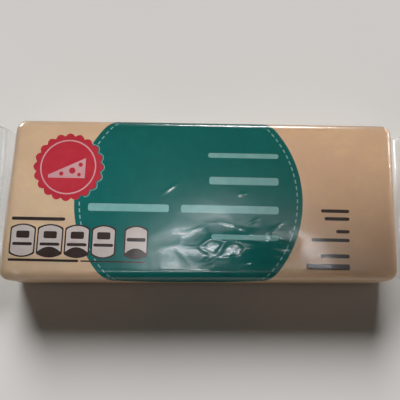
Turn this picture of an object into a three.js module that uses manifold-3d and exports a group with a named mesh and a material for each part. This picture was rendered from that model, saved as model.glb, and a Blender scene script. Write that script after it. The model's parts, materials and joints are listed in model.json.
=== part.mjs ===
// A bar of cheddar sealed in clear film, as one closed solid lying on its back with its front face up.
// Millimetres. +X runs along the bar, +Y across it and +Z up from the surface that it lies on.
import * as THREE from "three";
import { mergeVertices } from "three/addons/utils/BufferGeometryUtils.js";
import Module from "manifold-3d";

// The wrapped bar, measured over the film.
const BAR_LENGTH = 142;
const BAR_WIDTH = 59.6;
const BAR_HEIGHT = 24.8;
const EDGE_RADIUS = 4.2;

// The near long side isn't cut quite parallel to the far one: it runs in by this slope towards +X.
const NEAR_SIDE_SLOPE = 0.0217;

// The left end isn't cut quite square: it runs out by this slope towards the near side.
const LEFT_END_SLOPE = 0.028;

// The cut faces swell and dip a little.
const CROWN = 0.35;
const DIP = 0.18;
const DIP_LENGTH = 17;
const DIP_WIDTH = 11;

// A slack place in the film stands off the front face near the middle of the near side.
const SLACK_CENTRE = new THREE.Vector2(8, -20.5);
const SLACK_REACH = new THREE.Vector2(15, 10);
const SLACK_LIFT = 0.42;

// The sealed fins at both ends.
const FIN_LENGTH = 15;
const FIN_WIDTH = 62.8;
const FIN_THICKNESS = 0.8;
const FIN_HEIGHT = BAR_HEIGHT / 2;
const FIN_WAVE = 0.9;
const FIN_WAVE_LENGTH = 34;

// Each fin grows out of the bar's end through a tent of drawn-in film.
const TENT_SINK = 5;
const TENT_LENGTH = 6;
const TENT_FLARE = 6.5;
const TENT_FADE = 1.9;
const TENT_WAIST = 4.5;

// The seal's crimp ridges run across the fin.
const CRIMP_PITCH = 2;
const CRIMP_DEPTH = 0.35;
const CRIMP_MARGIN = 1;

// Mesh fineness.
const EDGE_STEPS = 3;
const BAR_STEPS = new THREE.Vector3(26, 12, 4);
const TENT_STEPS = 8;
const STEPS_PER_RIDGE = 5;
const FIN_CROSS_STEPS = 14;

const CHEESE_COLOUR = 0xd2ad82;
const FILM_ROUGHNESS = 0.25;

const wasm = await Module();
wasm.setup();

/** Grid lines across one axis of the bar, close together over the rounded edges. */
function barLines(size, innerSteps) {
  const inner = size / 2 - EDGE_RADIUS;
  const edge = [];
  for (let i = 1; i <= EDGE_STEPS; i += 1) {
    edge.push(inner + EDGE_RADIUS * Math.tan((Math.PI / 4) * (i / EDGE_STEPS)));
  }
  const lines = edge.map((line) => -line).reverse();
  for (let i = 0; i <= innerSteps; i += 1) {
    lines.push(inner * ((2 * i) / innerSteps - 1));
  }
  return lines.concat(edge);
}

/** A closed box with its own grid lines on each axis, its points then moved by place. */
function boxOnLines(lines, place) {
  const [nx, ny, nz] = lines.map((axis) => axis.length - 1);
  const geometry = new THREE.BoxGeometry(1, 1, 1, nx, ny, nz);
  const position = geometry.attributes.position;
  const point = new THREE.Vector3();
  for (let i = 0; i < position.count; i += 1) {
    point.fromBufferAttribute(position, i);
    point.set(
      lines[0][Math.round((point.x + 0.5) * nx)],
      lines[1][Math.round((point.y + 0.5) * ny)],
      lines[2][Math.round((point.z + 0.5) * nz)],
    );
    place(point);
    position.setXYZ(i, point.x, point.y, point.z);
  }
  geometry.deleteAttribute("normal");
  geometry.deleteAttribute("uv");
  return mergeVertices(geometry);
}

/** How far the film and cheese rise above the flat front face. */
function frontRelief(x, y) {
  const u = x / (BAR_LENGTH / 2);
  const v = y / (BAR_WIDTH / 2);
  const crown = CROWN * Math.max(0, 1 - u * u) * Math.max(0, 1 - v * v);
  const dip = DIP * Math.sin(x / DIP_LENGTH + 0.8) * Math.cos(y / DIP_WIDTH - 0.5);
  const sx = (x - SLACK_CENTRE.x) / SLACK_REACH.x;
  const sy = (y - SLACK_CENTRE.y) / SLACK_REACH.y;
  return crown + dip + SLACK_LIFT * Math.exp(-2 * (sx * sx + sy * sy));
}

const innerCorner = new THREE.Vector3(BAR_LENGTH, BAR_WIDTH, BAR_HEIGHT)
  .multiplyScalar(0.5)
  .subScalar(EDGE_RADIUS);
const innerBox = new THREE.Box3(innerCorner.clone().negate(), innerCorner);

/** Moves a point of the sharp box onto the rounded, slightly uneven bar. */
function placeOnBar(point) {
  const core = innerBox.clampPoint(point, new THREE.Vector3());
  const out = point.clone().sub(core);
  if (out.lengthSq() > 0) {
    point.copy(core).addScaledVector(out.normalize(), EDGE_RADIUS);
  }
  const raised = point.z / BAR_HEIGHT + 0.5;
  const nearness = 0.5 - point.y / BAR_WIDTH;
  const leftness = 0.5 - point.x / BAR_LENGTH;
  point.z += BAR_HEIGHT / 2 + raised ** 3 * frontRelief(point.x, point.y);
  point.y += nearness * NEAR_SIDE_SLOPE * point.x;
  point.x -= nearness * leftness * LEFT_END_SLOPE * BAR_WIDTH;
}

/** Distances from the bar's end at which a fin has grid lines: a tent, then the crimped seal. */
function finLines() {
  const lines = [-TENT_SINK];
  for (let i = 0; i < TENT_STEPS; i += 1) {
    lines.push((TENT_LENGTH * i) / TENT_STEPS);
  }
  const seal = FIN_LENGTH - TENT_LENGTH;
  const steps = Math.round((seal / CRIMP_PITCH) * STEPS_PER_RIDGE);
  for (let i = 0; i <= steps; i += 1) {
    lines.push(TENT_LENGTH + (seal * i) / steps);
  }
  return lines;
}

/** Even lines from -1 to 1. */
function evenLines(steps) {
  return Array.from({ length: steps + 1 }, (_, i) => (2 * i) / steps - 1);
}

/** Moves a point of the fin's box, given as reach from the bar's end and two sides from -1 to 1. */
function placeOnFin(point) {
  const reach = point.x;
  const grown = THREE.MathUtils.smoothstep(reach, 0, FIN_LENGTH);
  const halfWidth = FIN_WIDTH / 2 - TENT_WAIST * (1 - grown);
  const flare = TENT_FLARE * Math.exp(-Math.max(0, reach) / TENT_FADE);
  const halfThickness = FIN_THICKNESS / 2 + flare * (1 - 0.25 * point.y * point.y);
  const y = point.y * halfWidth;
  const sealed = THREE.MathUtils.smoothstep(reach, TENT_LENGTH, TENT_LENGTH + CRIMP_MARGIN);
  const crimp = CRIMP_DEPTH * sealed * Math.sin((2 * Math.PI * (reach - TENT_LENGTH)) / CRIMP_PITCH);
  const wave = FIN_WAVE * grown * Math.sin((2 * Math.PI * y) / FIN_WAVE_LENGTH + 0.7);
  point.set(BAR_LENGTH / 2 + reach, y, FIN_HEIGHT + wave + crimp + point.z * halfThickness);
}

/** A geometry with merged points as a solid that can be joined to others. */
function toSolid(geometry) {
  return new wasm.Manifold(
    new wasm.Mesh({
      numProp: 3,
      vertProperties: Float32Array.from(geometry.attributes.position.array),
      triVerts: Uint32Array.from(geometry.index.array),
    }),
  );
}

/** A joined solid back as a geometry. */
function toGeometry(solid) {
  const mesh = solid.getMesh();
  const geometry = new THREE.BufferGeometry();
  geometry.setAttribute("position", new THREE.BufferAttribute(mesh.vertProperties, 3));
  geometry.setIndex(new THREE.BufferAttribute(mesh.triVerts, 1));
  geometry.computeVertexNormals();
  return geometry;
}

const bar = boxOnLines(
  [
    barLines(BAR_LENGTH, BAR_STEPS.x),
    barLines(BAR_WIDTH, BAR_STEPS.y),
    barLines(BAR_HEIGHT, BAR_STEPS.z),
  ],
  placeOnBar,
);
const rightFin = boxOnLines([finLines(), evenLines(FIN_CROSS_STEPS), [-1, 1]], placeOnFin);
const leftFin = rightFin.clone().rotateZ(Math.PI);
const packSolid = toSolid(bar).add(toSolid(rightFin)).add(toSolid(leftFin));

const pack = new THREE.Mesh(
  toGeometry(packSolid),
  new THREE.MeshStandardMaterial({
    color: CHEESE_COLOUR,
    roughness: FILM_ROUGHNESS,
    metalness: 0,
  }),
);
pack.name = "cheddar_pack";

const wrappedBar = new THREE.Group();
wrappedBar.add(pack);

export default wrappedBar;
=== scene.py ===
"""Dresses a bar of cheddar sealed in clear film, with a printed front and a crimped fin at each end.

Forms are worked out in millimetres in the frame's own axes: +X along the bar, +Y across it and +Z up out of
the front face. A mesh is scaled to metres when it is finished. Places on the film are given as two lengths
from the middle of the front face: along is the way along the bar, and around is the way round it.
"""

from __future__ import annotations

import json
import logging
import math
from collections.abc import Callable
from dataclasses import dataclass, field
from enum import Enum

import bmesh
import bpy
from bmesh.types import BMesh, BMVert
from bpy.types import Collection, Material, Node, NodeSocket, Object
from mathutils import Matrix, Vector, noise

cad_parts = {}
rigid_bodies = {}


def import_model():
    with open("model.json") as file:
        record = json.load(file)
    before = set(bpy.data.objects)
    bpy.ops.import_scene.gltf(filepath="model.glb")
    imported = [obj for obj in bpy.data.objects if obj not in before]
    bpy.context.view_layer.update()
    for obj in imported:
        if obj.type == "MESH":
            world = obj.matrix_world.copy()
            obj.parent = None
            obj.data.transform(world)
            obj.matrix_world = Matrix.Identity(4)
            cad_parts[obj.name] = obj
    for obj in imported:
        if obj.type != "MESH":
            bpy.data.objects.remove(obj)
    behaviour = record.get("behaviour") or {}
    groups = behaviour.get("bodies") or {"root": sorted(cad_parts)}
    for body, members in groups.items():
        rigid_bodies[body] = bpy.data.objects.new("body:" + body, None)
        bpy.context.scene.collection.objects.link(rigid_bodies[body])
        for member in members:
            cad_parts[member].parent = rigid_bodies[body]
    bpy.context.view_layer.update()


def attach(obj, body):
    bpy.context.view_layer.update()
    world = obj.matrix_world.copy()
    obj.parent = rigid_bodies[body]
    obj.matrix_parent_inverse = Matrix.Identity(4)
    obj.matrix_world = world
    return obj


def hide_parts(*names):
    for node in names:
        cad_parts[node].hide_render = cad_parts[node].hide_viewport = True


LOG = logging.getLogger("cheddar_pack")
MM = 0.001
NODE = "cheddar_pack"
BODY = "root"
CREST_SHARPNESS = 4
NOISE_LOW, NOISE_HIGH = 0.3, 0.7

Place = Callable[[float, float], Vector]
Curve = Callable[[float], float]
Colour = tuple[float, float, float, float]
Pair = tuple[float, float]
Triple = tuple[float, float, float]


def srgb(red: int, green: int, blue: int) -> Colour:
    """A linear colour from its usual 8-bit display values.

    Args:
        red: Red from 0 to 255.
        green: Green from 0 to 255.
        blue: Blue from 0 to 255.

    Returns:
        The colour as a shader socket takes it, opaque.
    """

    def linear(value: int) -> float:
        """One channel without its display curve."""
        share = value / 255
        return share / 12.92 if share <= 0.04045 else ((share + 0.055) / 1.055) ** 2.4

    return (linear(red), linear(green), linear(blue), 1.0)


def smoothstep(value: float, low: float, high: float) -> float:
    """An even rise from 0 at low to 1 at high.

    Args:
        value: Where the rise is read.
        low: Where it starts.
        high: Where it ends.

    Returns:
        The share risen.
    """
    share = min(max((value - low) / (high - low), 0.0), 1.0)
    return share * share * (3 - 2 * share)


def hump(value: float, centre: float, reach: float) -> float:
    """A bell of height 1 round centre, which fades within about twice its reach."""
    return math.exp(-(((value - centre) / reach) ** 2))


def wander(*place: float) -> float:
    """Smooth noise from -1 to 1 at a place of up to three numbers."""
    return noise.noise(Vector((*place, 0.0, 0.0)[:3]))


def crest(*place: float) -> float:
    """Noise with sharp crests and wide valleys, from 0 to 1, as crinkled film has."""
    return (1 - abs(wander(*place))) ** CREST_SHARPNESS


def even(start: float, end: float, steps: int) -> list[float]:
    """Evenly spaced stops from start to end, without the last.

    Args:
        start: The first stop.
        end: Where the next run of stops begins.
        steps: How many stops to give.

    Returns:
        The stops.
    """
    return [start + (end - start) * i / steps for i in range(steps)]


def grid_patch(bm: BMesh, across: int, along: int, place: Place) -> list[BMVert]:
    """Adds a grid of faces and puts its points in place.

    Args:
        bm: The mesh that gets the grid.
        across: Faces along the grid's first side.
        along: Faces along its second side.
        place: Gives a point from the two sides, each from 0 to 1.

    Returns:
        The new vertices.
    """
    verts = bmesh.ops.create_grid(bm, x_segments=across, y_segments=along, size=0.5)["verts"]
    for vert in verts:
        vert.co = place(vert.co.x + 0.5, vert.co.y + 0.5)
    return verts


def finished_piece(name: str, bm: BMesh, material: Material) -> Object:
    """Turns a mesh in millimetres into a piece of the object.

    Args:
        name: The piece's name.
        bm: Its mesh, which is freed.
        material: Its finish.

    Returns:
        The piece, riding on the pack's body.
    """
    bmesh.ops.scale(bm, vec=(MM, MM, MM), verts=bm.verts)
    for face in bm.faces:
        face.smooth = True
    mesh = bpy.data.meshes.new(name)
    bm.to_mesh(mesh)
    bm.free()
    mesh.materials.append(material)
    piece = bpy.data.objects.new(name, mesh)
    bpy.context.scene.collection.objects.link(piece)
    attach(piece, BODY)
    LOG.info("%s: %d faces", name, len(mesh.polygons))
    return piece


class Shader:
    """A material under construction: adds nodes and links them by socket name."""

    def __init__(self, name: str) -> None:
        """Starts an empty material.

        Args:
            name: The material's name.
        """
        self.material = bpy.data.materials.new(name)
        self.material.use_nodes = True
        self.tree = self.material.node_tree
        self.tree.nodes.clear()

    def node(self, kind: str, **values: object) -> Node:
        """Adds a node.

        Args:
            kind: The node type's name without its ShaderNode prefix.
            **values: Node settings, or inputs with spaces written as underscores. A socket is linked.

        Returns:
            The node.
        """
        node = self.tree.nodes.new("ShaderNode" + kind)
        for key, value in values.items():
            if hasattr(node, key):
                setattr(node, key, value)
                continue
            self.feed(node.inputs[key.replace("_", " ")], value)
        return node

    def feed(self, socket: NodeSocket, value: object) -> None:
        """Links a socket to another, or sets its value.

        Args:
            socket: The input that is fed.
            value: Another node's output, or a plain value.
        """
        if isinstance(value, NodeSocket):
            self.tree.links.new(value, socket)
        else:
            socket.default_value = value

    def mix(self, share: object, first: NodeSocket, second: NodeSocket) -> NodeSocket:
        """Mixes two shaders, with share of the second.

        Args:
            share: A number or a socket.
            first: The shader shown at share 0.
            second: The shader shown at share 1.

        Returns:
            The mixed shader's socket.
        """
        node = self.tree.nodes.new("ShaderNodeMixShader")
        self.feed(node.inputs[0], share)
        self.feed(node.inputs[1], first)
        self.feed(node.inputs[2], second)
        return node.outputs[0]

    def grain(self, scale: float, detail: float = 3.0) -> NodeSocket:
        """Noise over the piece's own coordinates.

        Args:
            scale: How many blotches a metre.
            detail: How many finer layers it has.

        Returns:
            The noise's socket, from 0 to 1.
        """
        place = self.node("TexCoord").outputs["Object"]
        return self.node("TexNoise", Vector=place, Scale=scale, Detail=detail).outputs["Fac"]

    def ramp(self, value: NodeSocket, start: float, end: float, low: float, high: float) -> NodeSocket:
        """A value that changes evenly from low to high while another goes from start to end.

        Args:
            value: The other value's socket.
            start: Where the change starts.
            end: Where it ends.
            low: The value at the start.
            high: The value at the end.

        Returns:
            The value's socket.
        """
        stops = {"From_Min": start, "From_Max": end, "To_Min": low, "To_Max": high}
        return self.node("MapRange", Value=value, **stops).outputs[0]

    def blend(self, share: NodeSocket, low: object, high: object) -> NodeSocket:
        """A colour between two, led by noise stretched to its usual range.

        Args:
            share: The noise.
            low: The colour in its hollows, or a socket that gives it.
            high: The colour on its tops, or a socket that gives it.

        Returns:
            The colour's socket.
        """
        stretched = self.ramp(share, NOISE_LOW, NOISE_HIGH, 0.0, 1.0)
        mixed = self.tree.nodes.new("ShaderNodeMix")
        mixed.data_type = "RGBA"
        for name, value in (("Factor_Float", stretched), ("A_Color", low), ("B_Color", high)):
            self.feed(next(socket for socket in mixed.inputs if socket.identifier == name), value)
        return next(socket for socket in mixed.outputs if socket.identifier == "Result_Color")

    def bump(self, height: NodeSocket, strength: float, depth: float) -> NodeSocket:
        """A normal bent by a height.

        Args:
            height: The height's socket.
            strength: How much of the bend shows.
            depth: How deep a full height is, in metres.

        Returns:
            The normal's socket.
        """
        return self.node("Bump", Height=height, Strength=strength, Distance=depth).outputs["Normal"]

    def done(self, surface: NodeSocket) -> Material:
        """Gives the material its surface and returns it."""
        self.node("OutputMaterial", Surface=surface)
        return self.material


@dataclass(frozen=True)
class CheeseFinish:
    """Close, moist white cheddar: cream, faintly blotched and curdy, with light spreading a little inside."""

    name: str = "white_cheddar"
    pale: Colour = srgb(238, 206, 163)
    deep: Colour = srgb(226, 190, 149)
    rosy: Colour = srgb(233, 193, 160)
    blotches_per_m: float = 110.0
    curds_per_m: float = 420.0
    curd_detail: float = 4.0
    grain_per_m: float = 900.0
    grain_show: float = 0.3
    grain_depth: float = 0.0002
    roughness: float = 0.5
    gloss: float = 0.15
    glow: float = 0.2
    glow_reach: float = 0.002
    glow_by_channel: Triple = (1.0, 0.6, 0.3)

    def material(self) -> Material:
        """Builds the finish.

        Returns:
            The material.
        """
        shader = Shader(self.name)
        blotched = shader.blend(shader.grain(self.blotches_per_m), self.deep, self.pale)
        curdy = shader.blend(shader.grain(self.curds_per_m, self.curd_detail), self.rosy, blotched)
        surface = shader.node(
            "BsdfPrincipled",
            Base_Color=curdy,
            Roughness=self.roughness,
            Specular_IOR_Level=self.gloss,
            Subsurface_Weight=self.glow,
            Subsurface_Radius=self.glow_by_channel,
            Subsurface_Scale=self.glow_reach,
            Normal=shader.bump(shader.grain(self.grain_per_m), self.grain_show, self.grain_depth),
        )
        return shader.done(surface.outputs[0])


@dataclass(frozen=True)
class InkFinish:
    """Printing ink on the film's inner side, a touch uneven in its cover."""

    name: str
    full: Colour
    thin: Colour
    cover_per_m: float = 260.0
    roughness: float = 0.7
    gloss: float = 0.03

    def material(self) -> Material:
        """Builds the finish.

        Returns:
            The material.
        """
        shader = Shader(self.name)
        colour = shader.blend(shader.grain(self.cover_per_m), self.thin, self.full)
        surface = shader.node(
            "BsdfPrincipled", Base_Color=colour, Roughness=self.roughness, Specular_IOR_Level=self.gloss
        )
        return shader.done(surface.outputs[0])


@dataclass(frozen=True)
class FilmFinish:
    """Thin clear plastic film: see-through, with a sharp and a softer gloss, and milky in the sealed fins.

    Over one ragged oval patch of the front its soft gloss is taken away, as painted shade that darkens that
    pocket. Metres, and degrees.
    """

    name: str = "clear_film"
    ior: float = 1.45
    sharp: float = 0.09
    soft: float = 0.22
    soft_share: float = 0.7
    least_gloss: float = 0.025
    edge_gloss: float = 0.07
    milk: Colour = (0.86, 0.85, 0.83, 1.0)
    haze: float = 0.002
    seal_haze: float = 0.22
    seal_from: float = 0.072
    seal_to: float = 0.078
    ripple_per_m: float = 420.0
    ripple_detail: float = 2.0
    ripple_show: float = 0.04
    ripple_depth: float = 0.0004
    # Painted shade: a ragged oval patch on the front where the film's soft gloss is taken away, to darken
    # that pocket.
    painted_shade_place: Triple = (0.0245, -0.0205, 0.0255)
    painted_shade_reach: Triple = (0.0165, 0.0075, 0.03)
    painted_shade_turn: float = 12.0
    painted_shade_edge: float = 0.3
    painted_shade_edge_detail: float = 4.0
    painted_shade_from: float = 0.35
    painted_shade_to: float = 0.65
    painted_shade_gloss: float = 0.04

    def soft_gloss_under_painted_shade(self, shader: Shader) -> NodeSocket:
        """How much of its soft gloss the film keeps, which falls away over one ragged patch as painted shade.

        Args:
            shader: The material that asks for it.

        Returns:
            The share's socket.
        """
        place = shader.node("TexCoord").outputs["Object"]
        centred = shader.node("Mapping", vector_type="TEXTURE", Vector=place)
        centred.inputs["Location"].default_value = self.painted_shade_place
        centred.inputs["Rotation"].default_value = (0.0, 0.0, math.radians(self.painted_shade_turn))
        centred.inputs["Scale"].default_value = self.painted_shade_reach
        near = shader.node("TexGradient", gradient_type="SPHERICAL", Vector=centred.outputs[0])
        ragged = shader.node("Math", operation="MULTIPLY_ADD")
        shader.feed(ragged.inputs[0], shader.grain(self.ripple_per_m, self.painted_shade_edge_detail))
        ragged.inputs[1].default_value = self.painted_shade_edge
        shader.feed(ragged.inputs[2], near.outputs["Fac"])
        return shader.ramp(ragged.outputs[0], self.painted_shade_from, self.painted_shade_to, 1.0, self.painted_shade_gloss)

    def material(self) -> Material:
        """Builds the finish.

        Returns:
            The material.
        """
        shader = Shader(self.name)
        ripples = shader.grain(self.ripple_per_m, self.ripple_detail)
        normal = shader.bump(ripples, self.ripple_show, self.ripple_depth)
        place = shader.node("SeparateXYZ", Vector=shader.node("TexCoord").outputs["Object"])
        out = shader.node("Math", operation="ABSOLUTE")
        shader.feed(out.inputs[0], place.outputs["X"])
        haze = shader.ramp(out.outputs[0], self.seal_from, self.seal_to, self.haze, self.seal_haze)
        clear = shader.node("BsdfTransparent").outputs[0]
        milky = shader.node("BsdfDiffuse", Color=self.milk).outputs[0]
        body = shader.mix(haze, clear, milky)
        sharp = shader.node("BsdfGlossy", Roughness=self.sharp, Normal=normal).outputs[0]
        # Painted shade: the soft gloss is dimmed over the patch.
        soft_gloss_left = self.soft_gloss_under_painted_shade(shader)
        soft = shader.node("BsdfGlossy", Color=soft_gloss_left, Roughness=self.soft, Normal=normal).outputs[0]
        gloss = shader.mix(self.soft_share, sharp, soft)
        fresnel = shader.node("Fresnel", IOR=self.ior, Normal=normal)
        share = shader.ramp(fresnel.outputs[0], 0.0, 1.0, self.least_gloss, self.edge_gloss)
        return shader.done(shader.mix(share, body, gloss))


@dataclass(frozen=True)
class FloorFinish:
    """A plain pale matt surface."""

    name: str = "pale_floor"
    colour: Colour = srgb(232, 230, 227)
    shade: Colour = srgb(228, 226, 223)
    blotches_per_m: float = 9.0
    roughness: float = 0.85

    def material(self) -> Material:
        """Builds the finish.

        Returns:
            The material.
        """
        shader = Shader(self.name)
        colour = shader.blend(shader.grain(self.blotches_per_m), self.shade, self.colour)
        surface = shader.node("BsdfPrincipled", Base_Color=colour, Roughness=self.roughness)
        return shader.done(surface.outputs[0])


@dataclass(frozen=True)
class BarForm:
    """The wrapped bar's own shape, measured over the film, in millimetres."""

    length: float = 142.0
    width: float = 59.6
    height: float = 24.8
    edge: float = 4.2
    near_slope: float = 0.0217
    end_slope: float = 0.028
    crown: float = 0.35
    dip: float = 0.18
    dip_length: float = 17.0
    dip_width: float = 11.0
    dip_start: Pair = (0.8, -0.5)
    skew_rounds: int = 3

    @property
    def flat_length(self) -> float:
        """Half the front's flat length, up to where the ends turn over."""
        return self.length / 2 - self.edge

    @property
    def flat_width(self) -> float:
        """Half the front's flat width, up to where the long sides turn over."""
        return self.width / 2 - self.edge

    @property
    def turn(self) -> float:
        """The way along the film over one rounded edge."""
        return self.edge * math.pi / 2

    @property
    def side(self) -> float:
        """The flat height of a long side."""
        return self.height - 2 * self.edge

    def relief(self, x: float, y: float) -> float:
        """How far the front face stands above a flat one.

        Args:
            x: Place along the bar.
            y: Place across it.

        Returns:
            The height in millimetres.
        """
        u = x / (self.length / 2)
        v = y / (self.width / 2)
        crown = self.crown * max(0.0, 1 - u * u) * max(0.0, 1 - v * v)
        along = math.sin(x / self.dip_length + self.dip_start[0])
        across = math.cos(y / self.dip_width + self.dip_start[1])
        return crown + self.dip * along * across

    def skew(self, x: float, y: float) -> Vector:
        """How far the slanted near side and left end shift a place of the even bar.

        Args:
            x: Place along the even bar.
            y: Place across it.

        Returns:
            The shift, which is level.
        """
        nearness = 0.5 - y / self.width
        leftness = 0.5 - x / self.length
        run_out = nearness * leftness * self.end_slope * self.width
        return Vector((-run_out, nearness * self.near_slope * x, 0.0))

    def before_skew(self, x: float, y: float) -> Pair:
        """The place of the even bar that the slants bring to a true place on the front.

        Args:
            x: The true place along the bar.
            y: The true place across it.

        Returns:
            The place along the even bar and across it.
        """
        even_x, even_y = x, y
        for _ in range(self.skew_rounds):
            shift = self.skew(even_x, even_y)
            even_x, even_y = x - shift.x, y - shift.y
        return even_x, even_y

    def settle(self, point: Vector, held: float = 1.0) -> Vector:
        """Moves a point of the even bar to where the uneven cut puts it.

        The front's relief fades with the cube of the height below it.

        Args:
            point: A point of the even bar, with its underside at zero height.
            held: How far the point follows the slants of the near side and the left end.

        Returns:
            The moved point.
        """
        raised = max(point.z / self.height, 0.0)
        lift = Vector((0.0, 0.0, raised**3 * self.relief(point.x, point.y)))
        return point + lift + held * self.skew(point.x, point.y)


@dataclass(frozen=True)
class Station:
    """The film tube's section at one place along the pack."""

    x: float
    half_width: float
    half_height: float
    corner: float
    lean: float
    reach: float


@dataclass(frozen=True)
class Crease:
    """A fold that lifts the film off its print. Millimetres along and round the film, and degrees.

    A fold that has a slope falls away over that much width on its right-hand side, like a lap of film.
    """

    along: float
    around: float
    length: float
    heading: float
    lift: float
    width: float = 0.5
    slope: float = 0.0
    tail: float = 4.0

    def height(self, along: float, around: float) -> float:
        """How high it stands at a place on the film.

        Args:
            along: Place along the film.
            around: Place round it.

        Returns:
            The height in millimetres.
        """
        du, dv = along - self.along, around - self.around
        if abs(du) + abs(dv) > self.length + self.tail * max(self.width, self.slope):
            return 0.0
        turn = math.radians(self.heading)
        run = du * math.cos(turn) + dv * math.sin(turn)
        off = dv * math.cos(turn) - du * math.sin(turn)
        reach = self.slope if self.slope and off < 0 else self.width
        return self.lift * hump(off, 0, reach) * hump(run, 0, self.length / 2)


@dataclass(frozen=True)
class Ripple:
    """Uneven ripples of the film: their height, and how far apart they are along two ways. Millimetres."""

    height: float
    length: float
    width: float
    seed: float

    def wave(self, along: float, around: float) -> float:
        """How high they stand at a place, as smooth waves."""
        return self.height * wander(along / self.length, around / self.width, self.seed)

    def ridge(self, along: float, around: float, side: float = 1.0) -> float:
        """How high they stand at a place, as sharp ridges that differ on the two sides."""
        return self.height * crest(along / self.length, around / self.width, self.seed * side)


@dataclass(frozen=True)
class Gather:
    """Small gathers just past the line where the film starts to turn over an edge. Millimetres."""

    height: float
    past: float
    reach: float
    pitch: float
    seed: float
    drift: float = 8.0

    def lift(self, run: float, way: float, edge: float, side: float) -> float:
        """How high they stand at a place on the film.

        Args:
            run: The place along the edge.
            way: The place across it.
            edge: Where the film starts to turn.
            side: Which of the two edges, -1 or 1.

        Returns:
            The height in millimetres.
        """
        uneven = 1 + wander(run / self.pitch, self.seed * side, way / self.drift)
        return self.height * hump(way, edge + self.past, self.reach) * uneven


@dataclass(frozen=True)
class Patch:
    """An oval place on the film that fades outwards. Millimetres along and round the film."""

    along: float
    around: float
    length: float
    width: float
    fade: float

    def share(self, along: float, around: float) -> float:
        """How much of it there is at a place on the film.

        Args:
            along: Place along the film.
            around: Place round it.

        Returns:
            A share from 0 to 1.
        """
        u = (along - self.along) / self.length
        v = (around - self.around) / self.width
        return math.exp(-self.fade * (u * u + v * v))


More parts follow.
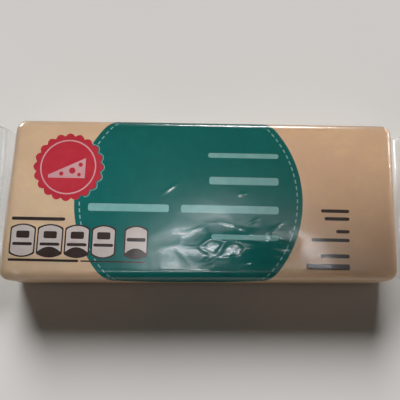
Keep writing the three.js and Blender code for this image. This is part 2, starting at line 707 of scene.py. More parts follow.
@dataclass(frozen=True)
class FilmTube:
    """The film: a tube round the bar, drawn in at each end to a flat crimped fin. Millimetres."""

    bar: BarForm
    skin: float = 0.05
    fin_length: float = 15.0
    fin_width: float = 62.8
    fin_half: float = 0.14
    fin_wave: float = 0.9
    fin_wave_length: float = 34.0
    fin_wave_start: float = 0.7
    fin_tip: float = 0.7
    tent_length: float = 6.0
    tent_flare: float = 6.5
    tent_fade: float = 1.9
    tent_waist: float = 4.5
    tent_spread: float = 1.5
    tent_lean: float = 3.0
    crimp_pitch: float = 2.0
    crimp_depth: float = 0.35
    crimp_margin: float = 1.0
    crimp_share: float = 0.8
    crimp_uneven: Ripple = Ripple(0.35, 3.0, 9.0, 1.3)
    lift_end: float = 5.0
    slant_end: float = 8.0
    # Slow lifts of the film, which its print follows.
    slack: Patch = Patch(14.0, -17.5, 22.0, 9.0, 1.4)
    mound: Patch = Patch(8.0, -20.5, 15.0, 10.0, 2.0)
    mound_lift: float = 0.42
    slow: Ripple = Ripple(0.04, 22.0, 15.0, 0.3)
    swell: Ripple = Ripple(0.07, 8.0, 5.0, 9.4)
    swelling: Patch = Patch(2.0, -20.0, 24.0, 12.0, 1.0)
    billow: Ripple = Ripple(0.12, 9.0, 6.5, 2.3)
    sink: float = 0.02
    # Creases, which lift the film off its print.
    quick: Ripple = Ripple(0.012, 4.5, 3.6, 7.7)
    pucker: Gather = Gather(0.04, 3.0, 3.6, 2.4, 3.1)
    tuck: Gather = Gather(0.05, 3.0, 3.0, 2.2, 5.3)
    drawn: Ripple = Ripple(0.14, 3.4, 26.0, 4.0)
    drawn_from: float = 58.0
    drawn_to: float = 70.0
    rumple: Ripple = Ripple(0.1, 11.0, 7.0, 6.2)
    rumple_turn: float = 0.6
    rumple_side: float = 2.0
    fold: Ripple = Ripple(0.2, 9.0, 5.5, 0.6)
    fold_width: float = 0.25
    crumple: Ripple = Ripple(0.035, 4.0, 2.8, 5.1)
    sparkle: Ripple = Ripple(0.02, 1.6, 1.3, 8.6)
    creases: tuple[Crease, ...] = (
        Crease(-8.0, -26.7, 26.0, 0.0, 0.3, 0.42),
        Crease(11.0, -27.0, 14.0, -2.0, 0.14, 0.4),
        Crease(14.0, -14.6, 22.0, 8.0, 0.2, 1.8),
        Crease(29.0, -16.2, 9.0, -20.0, 0.2, 0.6),
        Crease(19.4, -24.0, 6.0, 17.0, 0.16, 0.6),
        Crease(-10.7, 3.4, 5.0, 35.0, 0.1, 0.6),
        Crease(15.7, 1.5, 2.4, 20.0, 0.14, 0.6),
        Crease(3.7, -22.1, 2.6, 10.0, 0.18, 0.6),
        Crease(12.1, -21.9, 3.0, 70.0, 0.18, 0.6),
        Crease(5.2, -25.6, 2.4, 40.0, 0.16, 0.5),
        Crease(19.2, -8.8, 5.0, 30.0, 0.09, 0.5),
        Crease(26.6, -11.4, 6.0, 37.0, 0.09, 0.5),
        Crease(35.0, -17.0, 4.0, 76.0, 0.08, 1.0),
        Crease(-67.2, -25.2, 9.0, -42.0, 0.34, 0.6),
        Crease(-64.6, -26.8, 7.0, -37.0, 0.28, 0.55),
        Crease(67.4, -26.0, 6.0, 44.0, 0.26, 0.5),
        Crease(20.0, -17.0, 17.0, -9.0, 0.5, 0.7, 6.5),
        Crease(35.2, 23.0, 6.0, -4.0, 0.12, 0.5),
        Crease(47.8, 17.3, 4.0, 14.0, 0.13, 0.5),
        Crease(61.0, -8.0, 6.0, 60.0, 0.1, 0.8),
    )

    @property
    def end_drop(self) -> float:
        """The way down the bar's end before the film leaves it for the fin."""
        return self.bar.height / 2 - self.bar.edge - self.tent_flare

    @property
    def fin_start(self) -> float:
        """The way along the film from its middle to where it leaves the bar's end."""
        return self.bar.flat_length + self.bar.turn + self.end_drop

    def station(self, along: float) -> Station:
        """The section at a place along the film.

        Args:
            along: The way along the film from its middle, negative to the left.

        Returns:
            The section there.
        """
        bar = self.bar
        side = math.copysign(1.0, along)
        way = abs(along) - bar.flat_length
        if way <= 0:
            return Station(along, bar.width / 2, bar.height / 2, bar.edge, 0.0, 0.0)
        turn = min(way / bar.edge, math.pi / 2)
        inset = bar.edge * (1 - math.cos(turn))
        x = bar.flat_length + bar.edge * math.sin(turn)
        half_width = bar.width / 2 - inset
        half_height = bar.height / 2 - inset
        way -= bar.turn
        if way <= 0:
            return Station(side * x, half_width, half_height, bar.edge - inset, math.sin(turn), 0.0)
        reach = max(0.0, way - self.end_drop)
        grown = smoothstep(reach, 0, self.fin_length)
        waist = self.fin_width / 2 - self.tent_waist * (1 - grown)
        half_width += (waist - half_width) * smoothstep(reach, 0, self.tent_spread)
        thin = self.fin_half * (1 - smoothstep(reach, self.fin_length - self.fin_tip, self.fin_length))
        flare = self.tent_flare * math.exp(-reach / self.tent_fade) * (1 - grown)
        half_height = half_height - way if reach == 0 else thin + flare
        lean = 1 - smoothstep(reach, 0, self.tent_lean)
        return Station(side * (bar.length / 2 + reach), half_width, half_height, 0.0, lean, reach)

    def section(self, station: Station, around: float) -> tuple[Vector, Vector]:
        """A point of a section and the way it faces.

        Args:
            station: The section.
            around: The way round the bar from the front's middle, positive to the far side.

        Returns:
            The point, from the middle of the section, and its outward direction.
        """
        bar = self.bar
        side = math.copysign(1.0, around)
        wide = station.half_width - station.corner
        high = station.half_height - station.corner
        way = abs(around)
        if way <= bar.flat_width:
            y, z, out = wide * way / bar.flat_width, station.half_height, (0.0, 1.0)
        elif way <= bar.flat_width + bar.turn:
            angle = (way - bar.flat_width) / bar.edge
            out = (math.sin(angle), math.cos(angle))
            y, z = wide + station.corner * out[0], high + station.corner * out[1]
        elif way <= bar.flat_width + bar.turn + bar.side:
            share = (way - bar.flat_width - bar.turn) / bar.side
            y, z, out = station.half_width, high * (1 - 2 * share), (1.0, 0.0)
        elif way <= bar.flat_width + 2 * bar.turn + bar.side:
            angle = (way - bar.flat_width - bar.turn - bar.side) / bar.edge
            out = (math.cos(angle), -math.sin(angle))
            y, z = wide + station.corner * out[0], -high + station.corner * out[1]
        else:
            share = (way - bar.flat_width - 2 * bar.turn - bar.side) / bar.flat_width
            y, z, out = wide * (1 - share), -station.half_height, (0.0, -1.0)
        lean = math.copysign(station.lean, station.x)
        upright = math.sqrt(1 - station.lean**2)
        return (
            Vector((station.x, side * y, z)),
            Vector((lean, side * out[0] * upright, out[1] * upright)).normalized(),
        )

    def on_top(self, around: float) -> float:
        """1 on the front and the long sides, fading to 0 where the film turns under the bar."""
        low = self.bar.flat_width + self.bar.turn + self.bar.side
        return 1 - smoothstep(abs(around), low, low + self.bar.turn)

    def ease(self, along: float, around: float) -> float:
        """How far slow waves lift the film and its print off the bar.

        Args:
            along: Place along the film.
            around: Place round it.

        Returns:
            The lift in millimetres, or a slight sinking where it is less than 0.
        """
        lift = self.slow.wave(along, around)
        lift += self.swell.wave(along, around) * self.swelling.share(along, around)
        lift += self.mound_lift * self.mound.share(along, around)
        lift += self.billow.wave(along, around) * self.slack.share(along, around)
        return self.on_top(around) * max(lift, -self.sink)

    def crinkle(self, along: float, around: float) -> float:
        """How far creases lift the film off its print.

        Args:
            along: Place along the film.
            around: Place round it.

        Returns:
            The lift in millimetres, never less than 0.
        """
        bar = self.bar
        u, v = abs(along), abs(around)
        side, end = math.copysign(1.0, around), math.copysign(1.0, along)
        lift = self.quick.height + self.quick.wave(along, around)
        lift += self.pucker.lift(along, v, bar.flat_width, side)
        lift += self.tuck.lift(around, u, bar.flat_length, end)
        lift += self.drawn.ridge(around, u, end) * smoothstep(u, self.drawn_from, self.drawn_to)
        lift += sum(crease.height(along, around) for crease in self.creases)
        side_from = bar.flat_width + self.rumple_turn * bar.turn
        side_to = bar.flat_width + bar.turn + self.rumple_side
        lift += self.rumple.ridge(along, v, side) * smoothstep(v, side_from, side_to)
        cells = noise.voronoi(Vector((along / self.fold.length, around / self.fold.width, self.fold.seed)))[0]
        folds = self.fold.height * (1 - smoothstep(cells[1] - cells[0], 0, self.fold_width))
        fine = self.crumple.ridge(along, around) + self.sparkle.wave(along, around)
        lift += self.slack.share(along, around) ** 2 * (folds + fine)
        return self.on_top(around) * lift

    def point(self, along: float, around: float, below: float = 0.0) -> Vector:
        """A point on or just under the film.

        Args:
            along: Place along the film.
            around: Place round it.
            below: How far under the film's outer face.

        Returns:
            The point, in millimetres in the frame's axes.
        """
        station = self.station(along)
        place, out = self.section(station, around)
        place.z += self.bar.height / 2
        lift = self.ease(along, around)
        if not below:
            lift += self.crinkle(along, around)
        place += out * (lift * (1 - smoothstep(station.reach, 0, self.lift_end)) - self.skin - below)
        grown = smoothstep(station.reach, 0, self.fin_length)
        ridge = math.sin(2 * math.pi * (station.reach - self.tent_length) / self.crimp_pitch)
        sealed = smoothstep(station.reach, self.tent_length, self.tent_length + self.crimp_margin)
        uneven = self.crimp_share + self.crimp_uneven.wave(station.x, place.y)
        turned = 2 * math.pi * math.copysign(1.0, along) * place.y / self.fin_wave_length
        wave = self.fin_wave * grown * math.sin(turned + self.fin_wave_start)
        place.z += wave + sealed * uneven * self.crimp_depth * ridge
        return self.bar.settle(place, 1 - smoothstep(station.reach, 0, self.slant_end))


@dataclass
class CheeseBlock:
    """The bar of cheese inside the film."""

    bar: BarForm
    finish: CheeseFinish = field(default_factory=CheeseFinish)
    inset: float = 0.22
    edge: float = 3.98
    cuts: int = 47
    edge_share: float = 0.14
    unevenness: float = 0.015
    lump: float = 6.0

    def spaced(self, share: float, half: float) -> float:
        """Spreads even stops from -1 to 1 over one axis, closer together over its rounded ends.

        Args:
            share: An even stop.
            half: Half the cheese's size along that axis.

        Returns:
            The stop's place on the sharp block.
        """
        inner = half - self.edge
        knee = 1 - 2 * self.edge_share
        if abs(share) <= knee:
            return inner * share / knee
        turned = (abs(share) - knee) / (1 - knee)
        return math.copysign(inner + self.edge * math.tan(math.pi / 4 * turned), share)

    def build(self) -> Object:
        """Builds and dresses the cheese.

        Returns:
            The piece.
        """
        half = Vector((self.bar.length, self.bar.width, self.bar.height)) / 2
        half -= Vector((self.inset, self.inset, self.inset))
        bm = bmesh.new()
        bmesh.ops.create_cube(bm, size=2.0)
        bmesh.ops.subdivide_edges(bm, edges=bm.edges[:], cuts=self.cuts, use_grid_fill=True)
        for vert in bm.verts:
            sharp = Vector(self.spaced(vert.co[i], half[i]) for i in range(3))
            core = Vector(max(-half[i] + self.edge, min(half[i] - self.edge, sharp[i])) for i in range(3))
            out = (sharp - core).normalized()
            rough = self.unevenness * wander(*(sharp / self.lump))
            place = core + out * (self.edge + rough)
            place.z += self.bar.height / 2
            vert.co = self.bar.settle(place)
        piece = finished_piece("cheese_block", bm, self.finish.material())
        return piece


@dataclass
class FilmWrap:
    """The clear film itself, as one closed skin."""

    tube: FilmTube
    finish: FilmFinish = field(default_factory=FilmFinish)
    fine: float = 0.42
    side_steps: int = 14
    turn_steps: int = 14
    under_turn_steps: int = 6
    under_steps: int = 12
    end_steps: int = 2
    tent_steps: int = 12
    steps_per_ridge: int = 6
    weld: float = 0.0005

    def lengthwise(self) -> list[float]:
        """Where the film's grid lines cross its length.

        Returns:
            The places along the film, from its left end to its right.
        """
        tube, bar = self.tube, self.tube.bar
        stops = even(0, bar.flat_length, round(bar.flat_length / self.fine))
        stops += even(bar.flat_length, bar.flat_length + bar.turn, self.turn_steps)
        stops += even(bar.flat_length + bar.turn, tube.fin_start, self.end_steps)
        stops += [tube.fin_start + tube.tent_length * t * t for t in even(0, 1, self.tent_steps)]
        seal = tube.fin_length - tube.tent_length
        ridges = round(seal / tube.crimp_pitch * self.steps_per_ridge)
        stops += even(tube.fin_start + tube.tent_length, tube.fin_start + tube.fin_length, ridges)
        stops.append(tube.fin_start + tube.fin_length)
        return [-stop for stop in reversed(stops[1:])] + stops

    def round_the_bar(self) -> list[float]:
        """Where the film's grid lines run round the bar.

        Returns:
            The places round the bar, up the near side, over the front and down the far side.
        """
        bar = self.tube.bar
        corner = bar.flat_width + bar.turn
        under = corner + bar.side
        stops = even(0, bar.flat_width, round(bar.flat_width / self.fine))
        stops += even(bar.flat_width, corner, self.turn_steps)
        stops += even(corner, under, self.side_steps)
        stops += even(under, under + bar.turn, self.under_turn_steps)
        stops += even(under + bar.turn, under + bar.turn + bar.flat_width, self.under_steps)
        stops.append(under + bar.turn + bar.flat_width)
        return [-stop for stop in reversed(stops[1:])] + stops

    def build(self) -> Object:
        """Builds and dresses the film.

        Returns:
            The piece, which stands for the pack's solid.
        """
        lines, rounds = self.lengthwise(), self.round_the_bar()
        last_line, last_round = len(lines) - 1, len(rounds) - 1
        bm = bmesh.new()
        grid_patch(
            bm,
            last_line,
            last_round,
            lambda s, t: self.tube.point(lines[round(s * last_line)], rounds[round(t * last_round)]),
        )
        bmesh.ops.remove_doubles(bm, verts=bm.verts, dist=self.weld)
        bmesh.ops.recalc_face_normals(bm, faces=bm.faces)
        piece = finished_piece("film_wrap", bm, self.finish.material())
        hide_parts(NODE)
        return piece


class Layer(Enum):
    """How far under the film's outer face each layer of print lies, in millimetres."""

    FIELD = 0.10
    DASH = 0.08
    SHAPE = 0.06
    FILL = 0.04
    MARK = 0.02


@dataclass(frozen=True)
class Rule:
    """A plain printed bar: its two ends, its middle line, its thickness and the radius of its corners."""

    left: float
    right: float
    middle: float
    thickness: float
    corner: float = 0.5

    def moved(self, along: float, up: float) -> Rule:
        """The same bar at another place."""
        return Rule(self.left + along, self.right + along, self.middle + up, self.thickness, self.corner)


class InkSheet:
    """Printed shapes of one colour: flat at first, in lengths along the film, then laid under it."""

    least_columns = 8
    weld = 0.001

    def __init__(self, name: str, finish: InkFinish) -> None:
        """Starts an empty sheet.

        Args:
            name: The piece's name.
            finish: The ink.
        """
        self.name = name
        self.finish = finish
        self.bm = bmesh.new()

    def panel(
        self, left: float, right: float, low: Curve, high: Curve, layer: Layer, cell: float = 0.6
    ) -> None:
        """Adds a shape between a lower and an upper line, with its points closer together at both ends.

        Args:
            left: Where it starts along the film.
            right: Where it ends.
            low: Its lower line.
            high: Its upper line.
            layer: The layer it is printed in.
            cell: About how large its faces are.
        """
        columns = max(self.least_columns, round((right - left) / cell))
        middle = (left + right) / 2
        rows = max(1, round((high(middle) - low(middle)) / cell))

        def place(s: float, t: float) -> Vector:
            """The point at two shares of the shape."""
            u = left + (right - left) * (1 - math.cos(math.pi * s)) / 2
            return Vector((u, low(u) + (high(u) - low(u)) * t, -layer.value))

        grid_patch(self.bm, columns, rows, place)

    def bar(self, rule: Rule, layer: Layer) -> None:
        """Adds a straight bar.

        Args:
            rule: Its form and place.
            layer: The layer it is printed in.
        """
        corner = min(rule.corner, rule.thickness / 2)

        def swell(u: float) -> float:
            """Half the bar's thickness at a place along it."""
            gap = max(0.0, corner - min(u - rule.left, rule.right - u))
            return rule.thickness / 2 - corner + math.sqrt(max(0.0, corner * corner - gap * gap))

        self.panel(
            rule.left, rule.right, lambda u: rule.middle - swell(u), lambda u: rule.middle + swell(u), layer
        )

    def ring(
        self,
        centre: Pair,
        inner: Curve,
        outer: Curve,
        layer: Layer,
        span: Pair = (0.0, 2 * math.pi),
        cell: float = 0.6,
        least: int = 48,
    ) -> None:
        """Adds a ring, a part of one, or a disc.

        Args:
            centre: Its centre on the film.
            inner: Its inner radius by direction.
            outer: Its outer radius by direction.
            layer: The layer it is printed in.
            span: The directions where it starts and ends.
            cell: About how large its faces are.
            least: The fewest steps round it.
        """
        sweep = span[1] - span[0]
        sectors = max(least, round(sweep * outer(span[0]) / cell))
        rings = max(1, round((outer(span[0]) - inner(span[0])) / cell))

        def place(s: float, t: float) -> Vector:
            """The point at two shares of the shape.

            Args:
                s: The share of its sweep, from its end.
                t: The share of its width, from within.

            Returns:
                The point.
            """
            angle = span[1] - sweep * s
            radius = inner(angle) + (outer(angle) - inner(angle)) * t
            x, y = centre[0] + radius * math.cos(angle), centre[1] + radius * math.sin(angle)
            return Vector((x, y, -layer.value))

        verts = grid_patch(self.bm, sectors, rings, place)
        bmesh.ops.remove_doubles(self.bm, verts=verts, dist=self.weld)

    def lay(self, tube: FilmTube) -> Object:
        """Lays the shapes under the film.

        Args:
            tube: The film.

        Returns:
            The piece.
        """
        for vert in self.bm.verts:
            along, around = tube.bar.before_skew(vert.co.x, vert.co.y)
            vert.co = tube.point(along, around, -vert.co.z)
        return finished_piece(self.name, self.bm, self.finish.material())


def level(height: float) -> Curve:
    """A line, or a radius, that stays the same all along."""
    return lambda _: height


@dataclass(frozen=True)
class Tablet:
    """An arched tablet of the print: its two sides, and whether it has a large mark and a dark lens."""

    left: float
    right: float
    marked: bool = True
    lens: bool = True


@dataclass
class FrontPrint:
    """The print on the front: a round field, a dashed ring, a seal, tablets and plain rules. Millimetres."""

    tube: FilmTube
    field_centre: Pair = (-4.6, -0.65)
    field_radius: float = 41.5
    field_steps: int = 240
    dash_inset: float = 1.9
    dash_length: float = 1.4
    dash_width: float = 0.42
    dash_pitch: float = 2.44
    dash_clearance: float = 1.4
    pale_rules: tuple[Rule, ...] = (
        Rule(2.4, 28.2, 16.0, 1.8, 0.8),
        Rule(3.0, 28.2, 6.4, 2.8, 0.8),
        Rule(-7.0, 28.2, -4.2, 2.8, 0.8),
        Rule(4.2, 28.2, -14.2, 1.8, 0.8),
        Rule(-40.8, -11.4, -4.2, 2.8, 0.8),
    )
    seal_centre: Pair = (-49.2, 10.7)
    seal_radius: float = 12.4
    seal_lobes: int = 20
    seal_lobe_depth: float = 1.1
    lobe_steps: int = 8
    seal_ring: Pair = (9.9, 10.4)
    ring_steps: int = 96
    seal_outline: Pair = (0.35, 0.65)
    seal_outline_span: Pair = (-1.05, 0.9)
    outline_steps: int = 160
    wedge_left: float = -7.2
    wedge_right: float = 6.4
    wedge_foot: float = -4.2
    wedge_top: float = 0.4
    wedge_rise: float = 0.48
    wedge_holes: tuple[Triple, ...] = (
        (-2.4, -2.6, 0.8),
        (1.6, -1.4, 1.2),
        (4.6, 0.9, 0.8),
        (4.2, -2.9, 0.7),
    )
    hole_steps: int = 24
    tablet_bottom: float = -21.6
    tablet_height: float = 9.5
    tablet_arch: float = 1.3
    tablet_line: float = 0.5
    tablet_corner: float = 0.45
    tablet_block: Rule = Rule(-2.4, 2.4, -2.6, 2.6)
    tablet_rule: Rule = Rule(-3.6, 3.6, -6.0, 1.1)
    lone_rule: Rule = Rule(-3.4, 3.4, -3.8, 1.3)
    lens_height: float = 2.6
    lens_fall: float = 2.3
    tablets: tuple[Tablet, ...] = (
        Tablet(-68.4, -59.1, lens=False),
        Tablet(-58.5, -49.1),
        Tablet(-48.5, -39.4),
        Tablet(-38.8, -30.0, lens=False),
        Tablet(-27.0, -18.4, marked=False),
    )
    dark_rules: tuple[Rule, ...] = (
        Rule(-68.3, -48.8, -8.9, 1.2),
        Rule(-68.4, -43.0, -23.9, 0.9),
        Rule(-42.2, -19.0, -23.9, 0.5),
        Rule(43.4, 53.5, -4.0, 1.2),
        Rule(44.6, 53.5, -6.8, 1.2),
        Rule(48.6, 53.4, -11.4, 1.2),
        Rule(39.8, 53.3, -14.5, 1.2),
        Rule(43.0, 53.1, -20.2, 1.4),
        Rule(37.9, 53.1, -24.0, 2.0),
    )

    def __post_init__(self) -> None:
        """Starts one sheet for each ink."""
        inks = {
            "teal_field": InkFinish("teal_ink", srgb(2, 104, 98), srgb(8, 110, 104)),
            "mint_rules": InkFinish("mint_ink", srgb(140, 192, 188), srgb(128, 182, 178)),
            "crimson_seal": InkFinish("crimson_ink", srgb(203, 46, 62), srgb(209, 54, 70)),
            "seal_marks": InkFinish("blush_ink", srgb(226, 170, 172), srgb(220, 160, 162)),
            "tablet_fills": InkFinish("chalk_ink", srgb(220, 203, 196), srgb(212, 195, 188)),
            "brown_rules": InkFinish("brown_ink", srgb(58, 42, 38), srgb(66, 50, 44)),
        }
        self.sheets = [InkSheet(name, finish) for name, finish in inks.items()]
        self.teal, self.mint, self.crimson, self.blush, self.chalk, self.brown = self.sheets

    def add_field(self) -> None:
        """The round field and the dashed ring just inside its edge."""
        edge = level(self.field_radius)
        self.teal.ring(self.field_centre, level(0), edge, Layer.FIELD, least=self.field_steps)
        radius = self.field_radius - self.dash_inset
        count = round(2 * math.pi * radius / self.dash_pitch)
        half = self.dash_length / radius / 2
        for i in range(count):
            angle = 2 * math.pi * i / count
            across = self.field_centre[0] + radius * math.cos(angle) - self.seal_centre[0]
            up = self.field_centre[1] + radius * math.sin(angle) - self.seal_centre[1]
            if math.hypot(across, up) < self.seal_radius + self.dash_clearance:
                continue
            self.mint.ring(
                self.field_centre,
                level(radius - self.dash_width / 2),
                level(radius + self.dash_width / 2),
                Layer.DASH,
                span=(angle - half, angle + half),
                least=2,
            )

    def seal_edge(self, angle: float) -> float:
        """The seal's scalloped radius in a direction."""
        return self.seal_radius + self.seal_lobe_depth * (abs(math.cos(angle * self.seal_lobes / 2)) - 0.5)

    def add_seal(self) -> None:
        """A scalloped round seal with a plain cheese wedge in a ring."""
        x, y = self.seal_centre
        steps = self.seal_lobes * self.lobe_steps
        self.crimson.ring(self.seal_centre, level(0), self.seal_edge, Layer.SHAPE, least=steps)
        inner, outer = self.seal_ring
        self.blush.ring(self.seal_centre, level(inner), level(outer), Layer.FILL, least=self.ring_steps)
        self.blush.panel(
            x + self.wedge_left,
            x + self.wedge_right,
            level(y + self.wedge_foot),
            lambda u: y + self.wedge_top + self.wedge_rise * (u - x),
            Layer.FILL,
        )
        for du, dv, radius in self.wedge_holes:
            self.crimson.ring((x + du, y + dv), level(0), level(radius), Layer.MARK, least=self.hole_steps)
        self.mint.ring(
            self.seal_centre,
            lambda a: self.seal_edge(a) + self.seal_outline[0],
            lambda a: self.seal_edge(a) + self.seal_outline[1],
            Layer.SHAPE,
            span=self.seal_outline_span,
            least=self.outline_steps,
        )

    def add_tablet(self, tablet: Tablet) -> None:
        """One arched tablet with plain marks.

        Args:
            tablet: Its place and what is on it.
        """
        middle = (tablet.left + tablet.right) / 2
        half = (tablet.right - tablet.left) / 2
        low, high = self.tablet_bottom, self.tablet_bottom + self.tablet_height
        line, corner = self.tablet_line, self.tablet_corner

        def reach(u: float) -> float:
            """How far the arch and the round corners take the tablet past its plain height.

            Args:
                u: The place across it.

            Returns:
                The way up from its plain top, and down from its plain foot.
            """
            gap = max(0.0, corner - half + abs(u - middle))
            arch = self.tablet_arch * (1 - ((u - middle) / half) ** 2)
            return arch - corner + math.sqrt(max(0.0, corner * corner - gap * gap))

        def inner(u: float) -> float:
            """The same for the fill inside the outline."""
            return reach(middle + (u - middle) * half / (half - line)) - line

        def lens(u: float) -> float:
            """The top of the dark lens at a place across the tablet."""
            return max(low + self.lens_height - self.lens_fall * ((u - middle) / half) ** 2, low - inner(u))

        inside = (tablet.left + line, tablet.right - line)
        outside = (tablet.left, tablet.right)
        self.brown.panel(*outside, lambda u: low - reach(u), lambda u: high + reach(u), Layer.SHAPE)
        self.chalk.panel(*inside, lambda u: low - inner(u), lambda u: high + inner(u), Layer.FILL)
        if tablet.lens:
            self.brown.panel(*inside, lambda u: low - inner(u), lens, Layer.MARK)
        for rule in (self.tablet_block, self.tablet_rule) if tablet.marked else (self.lone_rule,):
            self.brown.bar(rule.moved(middle, high), Layer.MARK)

    def build(self) -> None:
        """Draws all shapes and lays each ink under the film."""
        self.add_field()
        for rule in self.pale_rules:
            self.mint.bar(rule, Layer.SHAPE)
        self.add_seal()
        for tablet in self.tablets:
            self.add_tablet(tablet)
        for rule in self.dark_rules:
            self.brown.bar(rule, Layer.MARK)
        for sheet in self.sheets:
            sheet.lay(self.tube)


class Task(Enum):
    """What a panel is for."""

    PACK = "lights the pack's matt surfaces"
    SHINE = "shows in the glossy film"


class Tint(Enum):
    """The colour of a panel's light."""

    WHITE = (1.0, 1.0, 1.0)
    COOL = (0.95, 0.96, 1.0)
    FRESH = (0.85, 0.95, 1.0)
    AMBER = (1.0, 0.945, 0.91)


@dataclass(frozen=True)
class SoftLight:
    """An oval studio panel. Places in metres from the middle of the floor, and its spread in degrees."""

    name: str
    task: Task
    place: Triple
    aim: Triple
    width: float
    depth: float
    watts: float
    tint: Tint = Tint.WHITE
    spread: float = 180.0

    def add(self, lit: Collection) -> None:
        """Hangs the light.

        Args:
            lit: What it falls on.
        """
        light = bpy.data.lights.new(self.name, "AREA")
        light.shape = "ELLIPSE"
        light.size, light.size_y = self.width, self.depth
        light.energy = self.watts
        light.color = self.tint.value
        light.spread = math.radians(self.spread)
        lamp = bpy.data.objects.new(self.name, light)
        lamp.location = self.place
        lamp.rotation_euler = (Vector(self.aim) - Vector(self.place)).to_track_quat("-Z", "Y").to_euler()
        lamp.visible_camera = False
        lamp.visible_diffuse = self.task is Task.PACK
        lamp.visible_glossy = self.task is Task.SHINE
        lamp.light_linking.receiver_collection = lit
        bpy.context.scene.collection.objects.link(lamp)


@dataclass(frozen=True)
class FloorLight:
    """An even slanting light on the floor alone, from beyond the far side."""

    name: str = "floor_light"
    towards: Triple = (0.1, -0.6, -0.45)
    strength: float = 3.6
    softness: float = 30.0

    def add(self, lit: Collection) -> None:
        """Hangs the light.

        Args:
            lit: What it falls on.
        """
        light = bpy.data.lights.new(self.name, "SUN")
        light.energy = self.strength
        light.angle = math.radians(self.softness)
        lamp = bpy.data.objects.new(self.name, light)
        lamp.rotation_euler = Vector(self.towards).to_track_quat("-Z", "Y").to_euler()
        lamp.light_linking.receiver_collection = lit
        bpy.context.scene.collection.objects.link(lamp)


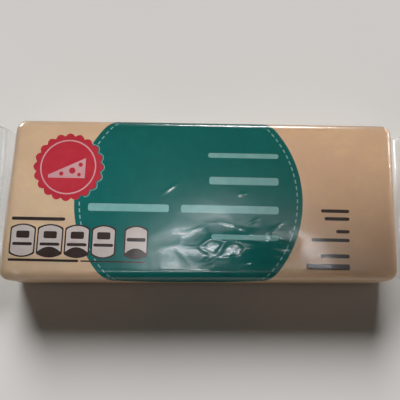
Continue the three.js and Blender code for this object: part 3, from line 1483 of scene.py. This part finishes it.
@dataclass(frozen=True)
class Studio:
    """The pale floor, the lights and the sky that fills the shadows."""

    floor_half: float = 20.0
    floor_cells: int = 4
    sky: Triple = (1.0, 0.9, 0.8)
    sky_strength: float = 0.06
    wall: Colour = srgb(207, 205, 201)
    finish: FloorFinish = field(default_factory=FloorFinish)
    floor_light: FloorLight = field(default_factory=FloorLight)
    lights: tuple[SoftLight, ...] = (
        SoftLight(
            "left_key",
            Task.PACK,
            (-0.027, 0.052, 0.16),
            (-0.046, -0.012, 0.025),
            0.14,
            0.06,
            0.0139,
            Tint.FRESH,
            spread=34,
        ),
        SoftLight(
            "far_key",
            Task.PACK,
            (0.063, 0.04, 0.187),
            (-0.012, 0.067, 0.025),
            0.115,
            0.23,
            0.0553,
            Tint.AMBER,
            spread=48,
        ),
        SoftLight(
            "glare_panel", Task.SHINE, (-0.018, 0.065, 0.95), (0.0, -0.02, 0.025), 0.18, 0.09, 1.65, Tint.COOL
        ),
        SoftLight(
            "blotch_panel",
            Task.SHINE,
            (0.203, 0.08, 0.95),
            (0.04, -0.02, 0.025),
            0.06,
            0.028,
            0.24,
            Tint.COOL,
        ),
        SoftLight(
            "fold_strip", Task.SHINE, (-0.06, -0.38, 0.8), (-0.01, -0.027, 0.025), 0.16, 0.05, 2.6, Tint.COOL
        ),
        SoftLight("rim_strip", Task.SHINE, (0.06, 0.6, 0.1), (0.02, 0.02, 0.02), 0.26, 0.04, 2.2),
        SoftLight("corner_panel", Task.SHINE, (-0.42, 0.38, 0.16), (-0.06, 0.02, 0.02), 0.36, 0.07, 3.6),
        SoftLight("end_strip", Task.SHINE, (0.5, 0.2, 0.1), (0.07, 0.01, 0.02), 0.12, 0.02, 0.9),
        SoftLight("far_corner_panel", Task.SHINE, (0.42, 0.42, 0.1), (0.07, 0.03, 0.02), 0.16, 0.05, 1.2),
    )

    def lay_floor(self) -> Object:
        """Lays the floor.

        Returns:
            The floor.
        """
        bm = bmesh.new()
        cells = self.floor_cells
        bmesh.ops.create_grid(bm, x_segments=cells, y_segments=cells, size=self.floor_half)
        mesh = bpy.data.meshes.new("floor")
        bm.to_mesh(mesh)
        bm.free()
        mesh.materials.append(self.finish.material())
        floor = bpy.data.objects.new("floor", mesh)
        bpy.context.scene.collection.objects.link(floor)
        return floor

    def set_sky(self) -> None:
        """Sets a dim warm sky that fills the shadows, with a pale wall in the camera's view."""
        world = bpy.data.worlds.new("studio_sky")
        world.use_nodes = True
        tree = world.node_tree
        fill = tree.nodes["Background"]
        fill.inputs["Color"].default_value = (*self.sky, 1.0)
        fill.inputs["Strength"].default_value = self.sky_strength
        wall = tree.nodes.new("ShaderNodeBackground")
        wall.inputs["Color"].default_value = self.wall
        seen = tree.nodes.new("ShaderNodeMixShader")
        tree.links.new(tree.nodes.new("ShaderNodeLightPath").outputs["Is Camera Ray"], seen.inputs[0])
        tree.links.new(fill.outputs[0], seen.inputs[1])
        tree.links.new(wall.outputs[0], seen.inputs[2])
        tree.links.new(seen.outputs[0], tree.nodes["World Output"].inputs["Surface"])
        bpy.context.scene.world = world

    def build(self) -> None:
        """Lays the floor, hangs the lights and sets the sky."""
        lit_pack = bpy.data.collections.new("lit_pack")
        for piece in bpy.context.scene.objects:
            if piece.type == "MESH":
                lit_pack.objects.link(piece)
        lit_floor = bpy.data.collections.new("lit_floor")
        lit_floor.objects.link(self.lay_floor())
        self.floor_light.add(lit_floor)
        for light in self.lights:
            light.add(lit_pack)
        self.set_sky()
        bpy.context.scene.view_settings.view_transform = "Standard"


@dataclass(frozen=True)
class PhotoCamera:
    """The camera where the photograph was taken from. Millimetres, and pixels of a 400-pixel picture."""

    eye: Triple = (4.47, -40.79, 216.15)
    aim: Triple = (-0.21, -0.85, 24.8)
    upward: Triple = (-0.0197, 0.9786, 0.2048)
    picture: int = 400
    focal_pixels: float = 539.0
    closest: float = 10.0

    def build(self) -> None:
        """Puts the camera in place."""
        lens = bpy.data.cameras.new("photo_camera")
        lens.sensor_fit = "HORIZONTAL"
        lens.lens = lens.sensor_width * self.focal_pixels / self.picture
        lens.clip_start = self.closest * MM
        camera = bpy.data.objects.new("photo_camera", lens)
        ahead = (Vector(self.aim) - Vector(self.eye)).normalized()
        right = ahead.cross(Vector(self.upward)).normalized()
        turn = Matrix((right, right.cross(ahead), -ahead)).transposed()
        camera.matrix_world = Matrix.Translation(Vector(self.eye) * MM) @ turn.to_4x4()
        bpy.context.scene.collection.objects.link(camera)
        bpy.context.scene.camera = camera


def main() -> None:
    """Builds the dressed pack in its frame, then the studio and the camera."""
    logging.basicConfig(level=logging.INFO, format="%(message)s")
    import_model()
    bar = BarForm()
    tube = FilmTube(bar)
    CheeseBlock(bar).build()
    FrontPrint(tube).build()
    FilmWrap(tube).build()
    Studio().build()
    PhotoCamera().build()


if __name__ == "__main__":
    main()
